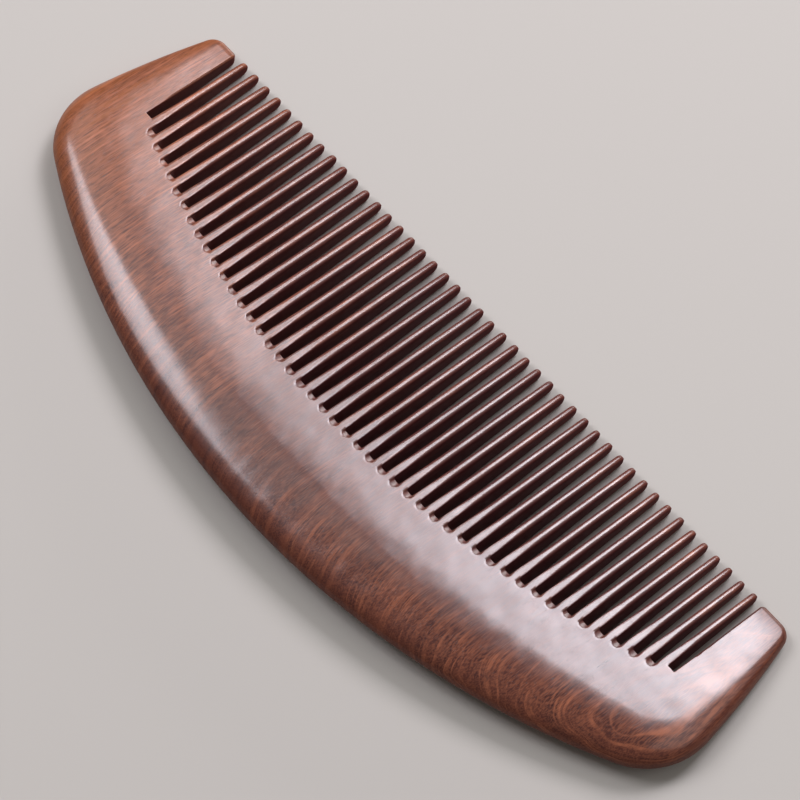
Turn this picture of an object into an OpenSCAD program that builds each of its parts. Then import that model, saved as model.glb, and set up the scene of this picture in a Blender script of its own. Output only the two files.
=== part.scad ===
// A crescent hair comb sawn from one piece of dark sandalwood.
// It is drawn about its own middle plane: X along the comb, +Y from the back towards the tooth
// tips, with y = 0 at the root of the middle tooth and x = 0 midway between the ends.
// laid() then sets it down on the lower of its two flat faces.

/* [Outline] */
// Length from end to end
comb_l = 181; // [179:0.5:188]
// Width of the solid back at the middle, from the tooth roots to the spine
back_w = 24.1; // [22:0.1:28]
// Radius of the long curve of the spine
spine_r = 173.5; // [165:0.5:185]
// Radius of the two lower corners, where the spine turns up into the ends
corner_r = 15.6; // [15.2:0.1:18]
// Radius of the slightly bowed ends
end_r = 200; // [150:5:400]
// Length across the two guards at their tips, before the tip corners are rounded
tips_l = 168.4; // [166:0.2:172]
// How far the guards reach past the root of the middle tooth
guard_l = 39.4; // [37:0.1:42]
// Radius of the outer corner of each guard tip
guard_r = 2.7; // [1.5:0.1:3]

/* [Thickness] */
// Thickness at the tooth tips
tip_t = 2.9; // [2.4:0.1:3.6]
// Thickness where the rounding of the spine takes over from the flat faces
shoulder_t = 9.7; // [8.5:0.1:11]
// How far the rounding of the spine reaches in from the edge
nose_depth = 12.6; // [9:0.1:12.8]

/* [Teeth] */
// Number of teeth between the two guards
tooth_count = 45; // [41:1:45]
// Distance from one tooth to the next
pitch = 3.4; // [3.2:0.02:3.42]
// Shift of the row of teeth from the middle of the comb
row_shift = -0.7; // [-1:0.1:1]
// Length of the middle tooth
tooth_l = 39.1; // [36:0.1:41]
// Radius of the curve along which the teeth are rooted
root_r = 200; // [180:1:260]
// Width of a tooth at its root
tooth_root_w = 1.7; // [1.5:0.05:2]
// Width of a tooth just before its tip
tooth_tip_w = 1.35; // [1.1:0.05:1.5]
// Rounding of a tooth's long edges at its root
edge_root = 0.1; // [0.05:0.05:0.2]
// Rounding of a tooth's long edges near its tip
edge_tip = 0.45; // [0.2:0.05:0.5]

/* [Gullets] */
// Length of the small scoop filed into each face at the end of a slot
gullet_l = 1.5; // [0.8:0.1:2]
// Depth of that scoop at the slot
gullet_d = 0.7; // [0.4:0.1:1]
// Radius of the round file that cut it
gullet_r = 0.8; // [0.6:0.05:0.84]

/* [Hidden] */

WOOD = "#5b2c22";

// The two flat faces close on each other towards the tips. wedge_tan is the slope of one face
// to the middle plane, and apex_y is where the two faces would meet.
nose_line_y = nose_depth - back_w;
wedge_tan = (shoulder_t - tip_t) / 2 / (tooth_l - nose_line_y);
wedge_deg = atan(wedge_tan);
apex_y = tooth_l + tip_t / 2 / wedge_tan;

// Half the thickness between the flat faces at a given y
function wedge_h(y) = (apex_y - y) * wedge_tan;

// The section of the rim is an ellipse. This is its half height, which makes it meet the flat
// faces without a crease at the middle of the spine.
nose_h = sqrt(pow(shoulder_t / 2, 2) - pow(wedge_tan * nose_depth, 2));

// Direction from one point to another, as an angle
function direction(a, b) = atan2(b[1] - a[1], b[0] - a[0]);

// Centre that lies ra from point a and rb from point b, on the left of the way from a to b
function arc_centre(a, ra, b, rb) =
    let (
        d = norm(b - a),
        along = (ra * ra - rb * rb + d * d) / (2 * d),
        across = sqrt(ra * ra - along * along),
        u = (b - a) / d
    )
    a + along * u + across * [-u[1], u[0]];

// Centres of the arcs of the outline's right half. Each arc runs on smoothly from the last.
spine_c = [0, spine_r - back_w];
corner_x = comb_l / 2 - corner_r;
corner_c = [corner_x, spine_c[1] - sqrt(pow(spine_r - corner_r, 2) - pow(corner_x, 2))];
end_c = arc_centre(corner_c, end_r - corner_r, [tips_l / 2, guard_l], end_r);
guard_y = guard_l - guard_r;
guard_c = [end_c[0] + sqrt(pow(end_r - guard_r, 2) - pow(guard_y - end_c[1], 2)), guard_y];

// The arcs in turn, from the middle of the spine round to the right guard's tip
ARCS = [
    // centre, radius, direction at its start and at its end, number of steps
    [spine_c, spine_r, -90, direction(spine_c, corner_c), 15],
    [corner_c, corner_r, direction(spine_c, corner_c), direction(end_c, corner_c), 12],
    [end_c, end_r, direction(end_c, corner_c), direction(end_c, guard_c), 5],
    [guard_c, guard_r, direction(end_c, guard_c), 90, 6],
];

// The outline's points after the middle of the spine, each with the direction that it faces
RIGHT_HALF = [
    for (arc = ARCS, i = [1 : arc[4]])
        let (a = arc[2] + (arc[3] - arc[2]) * i / arc[4])
        [arc[0][0] + arc[1] * cos(a), arc[0][1] + arc[1] * sin(a), a]
];
OUTLINE = concat(
    [[0, -back_w, -90]],
    RIGHT_HALF,
    [for (i = [len(RIGHT_HALF) - 1 : -1 : 0])
        let (p = RIGHT_HALF[i])
        [-p[0], p[1], 180 - p[2]]]
);

// Steps in the rounded section of the rim on each side of the middle plane
NOSE_STEPS = 8;
NOSE_POINTS = 2 * NOSE_STEPS + 1;

// Where the elliptical rim meets the flat faces, measured in from outline point p. Both are
// squared and set equal, which leaves a quadratic in the distance.
function rim_depth(p) =
    let (
        edge_h = wedge_h(p[1]),
        slope = wedge_tan * sin(p[2]),
        qa = pow(slope, 2) + pow(nose_h / nose_depth, 2),
        qb = 2 * (edge_h * slope - pow(nose_h, 2) / nose_depth),
        qc = pow(edge_h, 2)
    )
    (-qb - sqrt(max(0, qb * qb - 4 * qa * qc))) / (2 * qa);

// Section of the rim at outline point p, from the lower flat face round to the upper one
function rim_ring(p) =
    let (turn = acos(1 - rim_depth(p) / nose_depth))
    [
        for (i = [-NOSE_STEPS : NOSE_STEPS])
            let (
                t = turn * i / NOSE_STEPS,
                in = nose_depth * (1 - cos(t))
            )
            [p[0] - in * cos(p[2]), p[1] - in * sin(p[2]), nose_h * sin(t)]
    ];

// Faces that join each of a number of rings of points to the next, as two triangles a step.
// Where closed is true the points of a ring run round, and where looped is true the rings do.
function skin(rings, points, closed, looped) = [
    for (
        r = [0 : rings - (looped ? 1 : 2)],
        i = [0 : points - (closed ? 1 : 2)],
        half = [0, 1]
    )
        let (
            here = r * points,
            next = ((r + 1) % rings) * points,
            j = (i + 1) % points
        )
        half == 0 ? [here + i, here + j, next + j] : [here + i, next + j, next + i]
];

// The comb before it is slotted: two flat faces and a rounded rim all round
module blank() {
    rings = len(OUTLINE);
    polyhedron(
        points = [for (p = OUTLINE) each rim_ring(p)],
        faces = concat(
            [[for (r = [0 : rings - 1]) r * NOSE_POINTS]],
            skin(rings, NOSE_POINTS, false, true),
            [[for (r = [rings - 1 : -1 : 0]) r * NOSE_POINTS + NOSE_POINTS - 1]]
        )
    );
}

// Slot and tooth places along the row, slot 0 being the one beside the left guard
slot_root_w = pitch - tooth_root_w;
function slot_x(k) = (k - tooth_count / 2) * pitch;
function root_y(x) = root_r - sqrt(pow(root_r, 2) - pow(x, 2));

// Extra length that lets a cutter run past the face that it cuts
OVERCUT = 5;

// The space of the teeth and slots, whose edge steps along the curve of the roots
module tooth_field() {
    roots = [
        for (k = [0 : tooth_count], side = [-1, 1])
            [slot_x(k) + side * slot_root_w / 2, root_y(slot_x(k))]
    ];
    end_x = slot_x(tooth_count) + slot_root_w / 2;
    top_y = guard_l + OVERCUT;
    translate([row_shift, 0, 0])
        linear_extrude(height = 2 * shoulder_t, center = true)
            polygon(concat(roots, [[end_x, top_y], [-end_x, top_y]]));
}

// Sides of the round file
FILE_SIDES = 32;

// The round-bottomed scoop at the end of slot k, filed into the upper face at a slant. The file
// comes in over the back and ends in the slot.
module gullet(k) {
    start_y = root_y(slot_x(k)) - gullet_l;
    translate([row_shift + slot_x(k), start_y, wedge_h(start_y)])
        rotate([-atan(gullet_d / gullet_l), 0, 0])
            translate([0, 0, gullet_r])
                rotate([-90, 0, 0])
                    cylinder(r = gullet_r, h = 4 * gullet_l, center = true, $fn = FILE_SIDES);
}

// The scoops of every slot but the two beside the guards, on both faces
module gullets() {
    for (k = [1 : tooth_count - 1]) {
        gullet(k);
        mirror([0, 0, 1])
            gullet(k);
    }
}

// Rings of points round a tooth near its tip, each with how far it lies before the tip, and how
// much narrower and thinner on each side it is there than the taper of the tooth alone makes it
TIP_RINGS = [
    // before the tip, narrower by, thinner by
    [1.40, 0.00, 0.00],
    [0.55, 0.10, 0.16],
    [0.12, 0.27, 0.45],
    [0.00, 0.42, 0.75],
];
// Points round each of a tooth's four edges, and in a whole ring
EDGE_POINTS = 3;
RING_POINTS = 4 * EDGE_POINTS;
// The rounding of an edge near the tip takes up no more than this share of half the width
EDGE_SHARE = 0.95;

// One ring of points round a tooth that is centred on x: half its width, how much thinner it is
// than the wedge on each side, the rounding of its edges, and y at its left and right side
function tooth_ring(x, half_w, thinner, edge, y) = [
    for (i = [0 : RING_POINTS - 1])
        let (
            quarter = floor(i / EDGE_POINTS),
            side = (quarter == 0 || quarter == 3) ? 1 : -1,
            face = quarter < 2 ? 1 : -1,
            a = 90 * (quarter + (i % EDGE_POINTS) / (EDGE_POINTS - 1)),
            px = side * (half_w - edge) + edge * cos(a),
            py = y[0] + (y[1] - y[0]) * (px + half_w) / (2 * half_w),
            pz = face * (wedge_h(py) - thinner - edge) + edge * sin(a)
        )
        [x + px, py, pz]
];

// Tooth i, from its root, cut to meet the back, out to its rounded tip
module tooth(i) {
    x = slot_x(i + 0.5);
    base_y = [root_y(slot_x(i)), root_y(slot_x(i + 1))];
    rings = concat(
        [tooth_ring(x, tooth_root_w / 2, 0, edge_root, base_y)],
        [for (row = TIP_RINGS)
            let (
                y = tooth_l - row[0],
                half_w = tooth_tip_w / 2 - row[1]
            )
            tooth_ring(x, half_w, row[2], min(edge_tip, half_w * EDGE_SHARE), [y, y])]
    );
    last = (len(rings) - 1) * RING_POINTS;
    polyhedron(
        points = [for (ring = rings) each ring],
        faces = concat(
            [[for (j = [RING_POINTS - 1 : -1 : 0]) j]],
            skin(len(rings), RING_POINTS, true, false),
            [[for (j = [0 : RING_POINTS - 1]) last + j]]
        )
    );
}

// Sets the comb down on its lower flat face, with the middle of its bounding box over the origin
module laid() {
    nose_reach = norm([nose_depth * cos(wedge_deg), nose_h * sin(wedge_deg)]);
    spine_end = (nose_line_y - apex_y) * cos(wedge_deg) - nose_reach;
    tip_end = (guard_l - apex_y) * cos(wedge_deg);
    translate([0, -(spine_end + tip_end) / 2, 0])
        rotate([-wedge_deg, 0, 0])
            translate([0, -apex_y, 0])
                children();
}

// Curved back with the broad guard at each end of the row
module back() {
    color(WOOD)
        laid()
            difference() {
                blank();
                tooth_field();
                gullets();
            }
}

// The row of teeth, each one rooted on the back
module teeth() {
    color(WOOD)
        laid()
            translate([row_shift, 0, 0])
                for (i = [0 : tooth_count - 1])
                    tooth(i);
}

back();
teeth();
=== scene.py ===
"""A polished sandalwood comb lying on a pale floor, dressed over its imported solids.

The comb's shape is worked out in millimetres about its own middle plane: X along the comb, +Y from
the back towards the tooth tips, y = 0 at the root of the middle tooth, and z = 0 halfway through
the thickness. Placement then lays it on its lower flat face, in metres, where the solids lie.
"""

import logging
import math
from dataclasses import dataclass, field, fields
from enum import Enum, IntEnum

import bpy
import numpy as np
from mathutils import Matrix, Vector


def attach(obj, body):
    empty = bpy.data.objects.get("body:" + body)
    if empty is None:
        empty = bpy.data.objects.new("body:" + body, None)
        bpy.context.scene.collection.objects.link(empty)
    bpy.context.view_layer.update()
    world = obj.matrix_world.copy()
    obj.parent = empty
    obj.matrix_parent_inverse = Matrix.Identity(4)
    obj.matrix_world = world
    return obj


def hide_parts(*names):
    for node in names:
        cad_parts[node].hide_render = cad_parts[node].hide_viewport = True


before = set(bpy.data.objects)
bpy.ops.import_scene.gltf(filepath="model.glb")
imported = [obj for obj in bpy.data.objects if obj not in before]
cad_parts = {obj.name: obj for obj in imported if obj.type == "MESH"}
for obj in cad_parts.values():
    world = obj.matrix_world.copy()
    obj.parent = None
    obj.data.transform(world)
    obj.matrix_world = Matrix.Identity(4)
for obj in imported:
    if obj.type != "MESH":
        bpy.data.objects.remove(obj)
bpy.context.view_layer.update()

log = logging.getLogger("comb")

Pair = tuple[float, float]
Triple = tuple[float, float, float]
Socket = bpy.types.NodeSocket
Outputs = bpy.types.NodeOutputs
# what a node's input can be given
Value = Socket | float | Triple

MM = 0.001
# half thicknesses in millimetres under which the two halves of the comb meet
CLOSED = 1e-4
# distance in metres at which two points count as one
SAME = 1e-8


class Node(Enum):
    """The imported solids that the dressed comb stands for."""

    BACK = "back"
    TEETH = "teeth"


class Mark(Enum):
    """What the mesh notes at each of its points, for the finish to read."""

    WEAR = "wear"
    FACE = "face"
    SAWN = "sawn"


class Arc(IntEnum):
    """The arcs of the outline's right half, in order from the middle of the spine."""

    SPINE = 0
    CORNER = 1
    END = 2
    GUARD = 3


class Light(Enum):
    """The studio's lights, by what each one does to the comb."""

    SHEEN = "sheen"
    HALO = "halo"
    GLOW = "glow"
    STREAK = "streak"
    LOW = "low"
    FILL = "fill"
    SIDE = "side"


def eased(share: np.ndarray) -> np.ndarray:
    """Gives a share of 0 to 1 a soft start and a soft end: t t (3 - 2 t)."""
    return share * share * (3 - 2 * share)


@dataclass(frozen=True)
class Outline:
    """The comb's outer edge seen from above, as four arcs a side that run into each other.

    A place on it is given by s, the distance along the edge from the middle of the spine, negative
    to the left. The angle at a place is the direction that the edge faces there, in radians.
    """

    length: float = 181.0
    # width of the back at the middle, from the root of the middle tooth to the spine
    back_w: float = 25.25
    spine_r: float = 173.5
    corner_r: float = 15.6
    end_r: float = 200.0
    # length across the guards' tips, before their corners are rounded
    tips_l: float = 168.4
    guard_l: float = 38.8
    guard_r: float = 3.3

    def arcs(self) -> tuple[np.ndarray, np.ndarray, np.ndarray, np.ndarray]:
        """Works out the right half's arcs, in the order of Arc.

        Each centre is set by the arc before it, because two arcs that run into each other smoothly
        have their centres on one line with the point where they meet.

        Returns:
            Centres (4, 2), radii (4,), start angles (4,) and end angles (4,).
        """
        spine = np.array([0.0, self.spine_r - self.back_w])
        corner_x = self.length / 2 - self.corner_r
        corner_drop = math.sqrt((self.spine_r - self.corner_r) ** 2 - corner_x**2)
        corner = np.array([corner_x, spine[1] - corner_drop])
        end = self._end_centre(corner)
        guard_y = self.guard_l - self.guard_r
        guard_out = math.sqrt((self.end_r - self.guard_r) ** 2 - (guard_y - end[1]) ** 2)
        guard = np.array([end[0] + guard_out, guard_y])
        centres = np.array([spine, corner, end, guard])
        joints = [
            -math.pi / 2,
            math.atan2(*(corner - spine)[::-1]),
            math.atan2(*(corner - end)[::-1]),
            math.atan2(*(guard - end)[::-1]),
            math.pi / 2,
        ]
        radii = np.array([self.spine_r, self.corner_r, self.end_r, self.guard_r])
        return centres, radii, np.array(joints[:-1]), np.array(joints[1:])

    def _end_centre(self, corner: np.ndarray) -> np.ndarray:
        """Finds the centre of the end's bow from two distances.

        Args:
            corner: Centre of the corner's arc, which lies end_r - corner_r from it.

        Returns:
            The centre, on the inner side. The unrounded tip of the guard lies end_r from it.
        """
        tip = np.array([self.tips_l / 2, self.guard_l])
        near, far = self.end_r - self.corner_r, self.end_r
        gap = np.linalg.norm(tip - corner)
        along = (near**2 - far**2 + gap**2) / (2 * gap)
        across = math.sqrt(near**2 - along**2)
        unit = (tip - corner) / gap
        return corner + along * unit + across * np.array([-unit[1], unit[0]])

    def stations(self) -> np.ndarray:
        """Returns s where the four right arcs start, and where the last one ends."""
        _, radii, starts, ends = self.arcs()
        return np.concatenate([[0.0], np.cumsum(radii * (ends - starts))])

    def at(self, s: np.ndarray) -> tuple[np.ndarray, np.ndarray]:
        """Finds the points of the edge at distances s from the middle of the spine.

        Args:
            s: Signed distances along the edge.

        Returns:
            Points (n, 2), and the outward unit normals there (n, 2).
        """
        centres, radii, starts, _ = self.arcs()
        stations = self.stations()
        k = np.searchsorted(stations, np.abs(s), side="right") - 1
        k = np.clip(k, 0, len(radii) - 1)
        angle = starts[k] + (np.abs(s) - stations[k]) / radii[k]
        normal = np.stack([np.cos(angle), np.sin(angle)], axis=-1)
        point = centres[k] + radii[k, None] * normal
        side = np.stack([np.where(s < 0, -1.0, 1.0), np.ones_like(s)], axis=-1)
        return point * side, normal * side

    def foot(self, x: np.ndarray, y: np.ndarray) -> tuple[np.ndarray, np.ndarray, np.ndarray]:
        """Finds the nearest place on the edge, the line across the guards' tips counted too.

        On each arc the nearest place lies in the direction from the arc's centre to the point, held
        to the arc's ends. The nearest of them all is the foot.

        Args:
            x: Any array of places along the comb.
            y: The same for y.

        Returns:
            Distance in from the edge, the foot's y and the sine of the foot's angle.
        """
        centres, radii, starts, ends = self.arcs()
        px, py = np.abs(x)[..., None], y[..., None]
        angle = np.clip(np.arctan2(py - centres[:, 1], px - centres[:, 0]), starts, ends)
        foot_y = centres[:, 1] + radii * np.sin(angle)
        gap = np.hypot(px - centres[:, 0] - radii * np.cos(angle), py - foot_y)
        top = np.where(px > centres[Arc.GUARD, 0], np.inf, self.guard_l - py)
        gap = np.concatenate([gap, top], axis=-1)
        foot_y = np.concatenate([foot_y, np.full_like(py, self.guard_l)], axis=-1)
        sine = np.concatenate([np.sin(angle), np.ones_like(py)], axis=-1)
        nearest = np.argmin(gap, axis=-1)[None, ..., None]
        found = np.take_along_axis(np.stack([gap, foot_y, sine]), nearest, axis=-1)[..., 0]
        return np.maximum(found[0], 0.0), found[1], found[2]


@dataclass(frozen=True)
class Section:
    """The comb's thickness: two flat faces that close towards the tips, and an elliptical rim.

    The ellipse is crown fuller than one that runs into the flats at the middle of the spine, so it
    meets them in a faint crease, which use has rubbed down. Its rounding reaches nose_depth in from
    the spine, and end_less shallower where the edge faces the ends or the tips.
    """

    apex_y: float
    slope: float
    nose_depth: float
    nose_h: float
    crown: float = 0.12
    end_less: float = 1.15
    # widths of the rubbed strip outside and inside the crease, and the most that they can be as
    # a multiple of how far in the crease lies
    crease_out: float = 4.0
    crease_in: float = 6.4
    most_out: float = 0.8
    most_in: float = 2.0
    # share by which the inner side is rubbed wider at the left end, and narrower at the right
    crease_lean: float = 0.45

    @classmethod
    def from_sizes(
        cls,
        outline: Outline,
        tip_y: float,
        tip_t: float = 2.9,
        shoulder_t: float = 9.7,
        nose_depth: float = 13.75,
    ) -> "Section":
        """Works the section out from the sizes that a maker would measure.

        Args:
            outline: The comb's edge.
            tip_y: Where the teeth end.
            tip_t: Thickness there.
            shoulder_t: Thickness where the rim's rounding is nose_depth in from the spine.
            nose_depth: How far the rounding reaches in.

        Returns:
            The section. Without the crown, the ellipse's half height would make it meet the flats
            smoothly at the middle of the spine.
        """
        slope = (shoulder_t - tip_t) / 2 / (tip_y - nose_depth + outline.back_w)
        nose_h = math.sqrt((shoulder_t / 2) ** 2 - (slope * nose_depth) ** 2)
        apex_y = tip_y + tip_t / 2 / slope
        return cls(apex_y=apex_y, slope=slope, nose_depth=nose_depth, nose_h=nose_h)

    def flat(self, y: np.ndarray) -> np.ndarray:
        """Returns half the thickness between the flat faces, which falls evenly with y."""
        return (self.apex_y - y) * self.slope

    def reach(self, sine: np.ndarray) -> np.ndarray:
        """Returns how far the rounding reaches in, from the sine of the edge's direction."""
        return self.nose_depth - self.end_less * (1 - np.maximum(-sine, 0.0))

    def junction(self, foot_y: np.ndarray, sine: np.ndarray) -> tuple[np.ndarray, np.ndarray]:
        """Finds where the elliptical rim gives way to the flat face, going in from the edge.

        The squares of both half thicknesses are set equal, which leaves a quadratic in the depth.

        Args:
            foot_y: y of the edge.
            sine: Sine of the direction that the edge faces.

        Returns:
            The depth, and how much the slope drops there (0 where they meet smoothly).
        """
        edge, rise = self.flat(foot_y), self.slope * sine
        top, reach = self.nose_h + self.crown, self.reach(sine)
        a = rise**2 + (top / reach) ** 2
        b = 2 * (edge * rise - top**2 / reach)
        depth = (-b - np.sqrt(np.maximum(b * b - 4 * a * edge**2, 0.0))) / (2 * a)
        height = edge + rise * depth
        steep = top**2 * (1 - depth / reach) / (reach * height)
        return depth, np.maximum(steep - rise, 0.0)

    def rubbed(
        self, depth: np.ndarray, x: np.ndarray, half_l: float
    ) -> tuple[np.ndarray, np.ndarray]:
        """Works out how far the crease between rim and flat face is rubbed down.

        Args:
            depth: How far in from the edge the crease lies.
            x: Places along the comb, which is rubbed wider towards its left end.
            half_l: Half the comb's length.

        Returns:
            Widths of the rubbed strip on the crease's outer and inner side.
        """
        outer = np.minimum(self.crease_out, self.most_out * depth)
        inner = np.minimum(self.crease_in, self.most_in * depth)
        return outer, inner * (1 - self.crease_lean * x / half_l)

    def half_thickness(self, outline: Outline, x: np.ndarray, y: np.ndarray) -> np.ndarray:
        """Works out half the thickness of the comb before it is slotted.

        It is the ellipse up to the junction and the flat face past it. The crease between them is
        rubbed down to a parabola that touches both sides: with a and b the widths out and in, u the
        distance past the crease and t = (a + u) / (a + sqrt(a^2 + (b - a) (a + u))), it lies
        turn * (min(u, 0) + a (1 - t)^2) below them.

        Args:
            outline: The comb's edge.
            x: Places along the comb.
            y: Places across it.

        Returns:
            Half thicknesses, 0 at the edge.
        """
        gap, foot_y, sine = outline.foot(x, y)
        depth, turn = self.junction(foot_y, sine)
        round_share = np.sqrt(np.maximum(1 - (1 - gap / self.reach(sine)) ** 2, 0.0))
        ellipse = (self.nose_h + self.crown) * round_share
        a, b = self.rubbed(depth, x, outline.length / 2)
        past = np.clip(gap - depth, -a, b)
        share = (a + past) / (a + np.sqrt(a**2 + (b - a) * (a + past)))
        rub = turn * (np.minimum(past, 0.0) + a * (1 - share) ** 2)
        return np.maximum(np.where(gap < depth, ellipse, self.flat(y)) - rub, 0.0)


@dataclass(frozen=True)
class Teeth:
    """The row of teeth and the slots between them, sawn along y."""

    count: int = 45
    pitch: float = 3.4
    shift: float = -0.7
    tip_y: float = 39.1
    root_r: float = 200.0
    root_w: float = 1.7
    tip_w: float = 1.35
    # rounding of the long edges at the root and past edge_run, at most a share of the half sizes
    edge_root: float = 0.12
    edge_tip: float = 0.54
    edge_run: float = 10.0
    edge_most_w: float = 0.92
    edge_most_h: float = 0.8
    # length of the rounded point, its half width at the very tip, and its roundness
    point_l: float = 1.5
    point_w: float = 0.22
    point_power: float = 2.4
    # how much shorter a tip may be, and what share of that it may be longer
    tip_vary: float = 0.12
    tip_over: float = 0.6
    # how far sideways a tip may lean
    lean: float = 0.06

    @property
    def slot_w(self) -> float:
        """Width of a slot at its root."""
        return self.pitch - self.root_w

    def slot_x(self, k: np.ndarray) -> np.ndarray:
        """Returns the middle of slot k, slot 0 being beside the left guard."""
        return (k - self.count / 2) * self.pitch + self.shift

    def slot_at(self, x: np.ndarray) -> np.ndarray:
        """Returns the number of the slot nearest to x."""
        k = np.rint((x - self.shift) / self.pitch + self.count / 2)
        return np.clip(k, 0, self.count).astype(int)

    def root_y(self, k: np.ndarray) -> np.ndarray:
        """Returns y of the end of slot k, which lies on a circle of radius root_r."""
        return self.root_r - np.sqrt(self.root_r**2 - (self.slot_x(k) - self.shift) ** 2)

    def edge(self, y: np.ndarray) -> np.ndarray:
        """Returns the rounding of the long edges, which eases from edge_root to edge_tip."""
        share = eased(np.clip(y / self.edge_run, 0.0, 1.0))
        return self.edge_root + (self.edge_tip - self.edge_root) * share


@dataclass(frozen=True)
class Gullets:
    """The shallow hollow ramp that a file leaves at the end of a slot, on both faces."""

    length: float = 1.6
    depth: float = 0.72
    radius: float = 1.5
    # the most by which a ramp's length and depth differ from these, as a share
    vary: float = 0.14
    # width of the steep wall at each side
    side_w: float = 0.06
    # how sawn a ramp's surface looks
    dull: float = 0.5

    def cut(
        self, teeth: Teeth, rng: np.random.Generator, x: np.ndarray, y: np.ndarray
    ) -> np.ndarray:
        """Works out how deep the ramps cut at each place.

        The file's underside falls in a straight line to the slot, and its round section lifts it
        towards the slot's sides: depth * (1 - distance / length) - (r - sqrt(r^2 - u^2)). Steep
        side walls, side_w wide, bring it up to the face at the slot's sides.

        Args:
            teeth: The row that the ramps belong to.
            rng: Source of the small differences from one ramp to the next.
            x: Places along the comb.
            y: Places across it.

        Returns:
            Depths, 0 outside the ramps and beside the two guards.
        """
        longer = 1 + self.vary * rng.uniform(-1, 1, teeth.count + 1)
        deeper = 1 + self.vary * rng.uniform(-1, 1, teeth.count + 1)
        k = teeth.slot_at(x)
        across = np.minimum(np.abs(x - teeth.slot_x(k)), self.radius)
        distance = (teeth.root_y(k) - y) / (longer[k] * self.length)
        fall = deeper[k] * self.depth * (1 - distance)
        bowl = self.radius - np.sqrt(self.radius**2 - across**2)
        side = np.clip((teeth.slot_w / 2 - across) / self.side_w, 0.0, 1.0)
        return np.where((k > 0) & (k < teeth.count), np.maximum(fall - bowl, 0.0) * side, 0.0)


@dataclass(frozen=True)
class Placement:
    """How the comb lies: on its lower flat face, with its box's middle over the origin.

    The solids' own guard length and nose depth set where it lies, so that the dressed comb covers
    them, although its spine reaches further out and its guards' tips are shorter.
    """

    outline: Outline
    section: Section
    packed_guard_l: float = 39.4
    packed_nose: float = 12.6

    def levels(self) -> tuple[float, float]:
        """Works out how the comb is tilted and moved.

        Returns:
            The tilt in radians, and how far the comb is moved along y once it is tilted.
        """
        tilt = math.atan(self.section.slope)
        lie_w, lie_h = self.packed_nose * math.cos(tilt), self.section.nose_h * math.sin(tilt)
        nose_y = self.section.nose_depth - self.outline.back_w
        spine_end = (nose_y - self.section.apex_y) * math.cos(tilt) - math.hypot(lie_w, lie_h)
        tip_end = (self.packed_guard_l - self.section.apex_y) * math.cos(tilt)
        return tilt, -(spine_end + tip_end) / 2

    def lay(self, points: np.ndarray) -> np.ndarray:
        """Turns points about the line where the flats would meet, so that the lower one is level.

        Args:
            points: Places about the middle plane, in millimetres (n, 3).

        Returns:
            Places in the row frame, in metres (n, 3).
        """
        tilt, move = self.levels()
        y, z = points[:, 1] - self.section.apex_y, points[:, 2]
        laid_y = y * math.cos(tilt) + z * math.sin(tilt) + move
        laid_z = z * math.cos(tilt) - y * math.sin(tilt)
        return np.stack([points[:, 0], laid_y, laid_z], axis=1) * MM

    def unlaid(self) -> tuple[Vector, Vector]:
        """Works out the Mapping values that take the row frame back to the middle plane.

        Returns:
            Location in millimetres and rotation, for a Mapping node that scales metres to
            millimetres.
        """
        tilt, move = self.levels()
        turned = Vector((0.0, move * math.cos(tilt), move * math.sin(tilt)))
        return Vector((0.0, self.section.apex_y, 0.0)) - turned, Vector((tilt, 0.0, 0.0))


@dataclass(frozen=True)
class Steps:
    """How finely the comb's mesh is divided."""

    # steps along the band: round the rim, past the crease, across the face, round the inner edge
    # and down the wall
    rim: int = 11
    crease: int = 9
    middle: int = 4
    edge: int = 3
    wall: int = 3
    # distances in from a slot's end where the rows over a gullet lie
    gullet: tuple[float, ...] = (2.4, 2.0, 1.75, 1.55, 1.35, 1.15, 0.95, 0.75, 0.55, 0.38, 0.24)
    # places across a slot, as shares of its width, and the steps across a tooth
    slot: tuple[float, ...] = (-0.5, -0.462, -0.4, -0.25, 0.0, 0.25, 0.4, 0.462, 0.5)
    tooth: int = 4
    # columns round a slot's corner, down a guard and round its tip
    fan: int = 22
    guard: int = 16
    tip: int = 12
    # rings of a tooth: distances past its root, the number along its body, and the distances
    # before its tip as shares of the point's length
    past_root: tuple[float, ...] = (0.35, 0.9, 1.8, 3.0, 5.0, 7.5, 10.0, 13.0)
    body: int = 4
    before_tip: tuple[float, ...] = (1.0, 0.72, 0.48, 0.3, 0.16, 0.07, 0.02, 0.0)


@dataclass
class Columns:
    """Lines across the band of wood that runs from one guard's tip, along the back, to the other's.

    Each runs from a place on the outer edge to one on the inner edge, which is a guard's inner
    wall, the end of a slot or the root of a tooth. Places and directions are (n, 2).
    """

    outer: np.ndarray
    # direction out of the wood at the outer edge: square to it, or level near a guard's tip
    square: np.ndarray
    inner: np.ndarray
    # direction from the inner edge into the wood
    into: np.ndarray
    # rounding of the inner edge (n,)
    edge_r: np.ndarray

    @classmethod
    def joined(cls, runs: list["Columns"]) -> "Columns":
        """Joins runs of columns end to end."""
        names = [each.name for each in fields(cls)]
        return cls(*(np.concatenate([getattr(run, name) for run in runs]) for name in names))

    def some(self, kept: slice) -> "Columns":
        """Returns the columns that a slice keeps, in its order."""
        return Columns(*(getattr(self, each.name)[kept] for each in fields(self)))

    def length(self) -> np.ndarray:
        """Returns the distance from the outer to the inner end of each, as a column (n, 1)."""
        return np.linalg.norm(self.outer - self.inner, axis=1)[:, None]


@dataclass
class Rings:
    """Middles and half sizes of the rings round the teeth's upper halves, each (teeth, rings)."""

    x: np.ndarray
    y: np.ndarray
    half_w: np.ndarray
    half_h: np.ndarray
    # how far the rounding of the long edges reaches across and down
    edge_w: np.ndarray
    edge_h: np.ndarray


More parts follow.
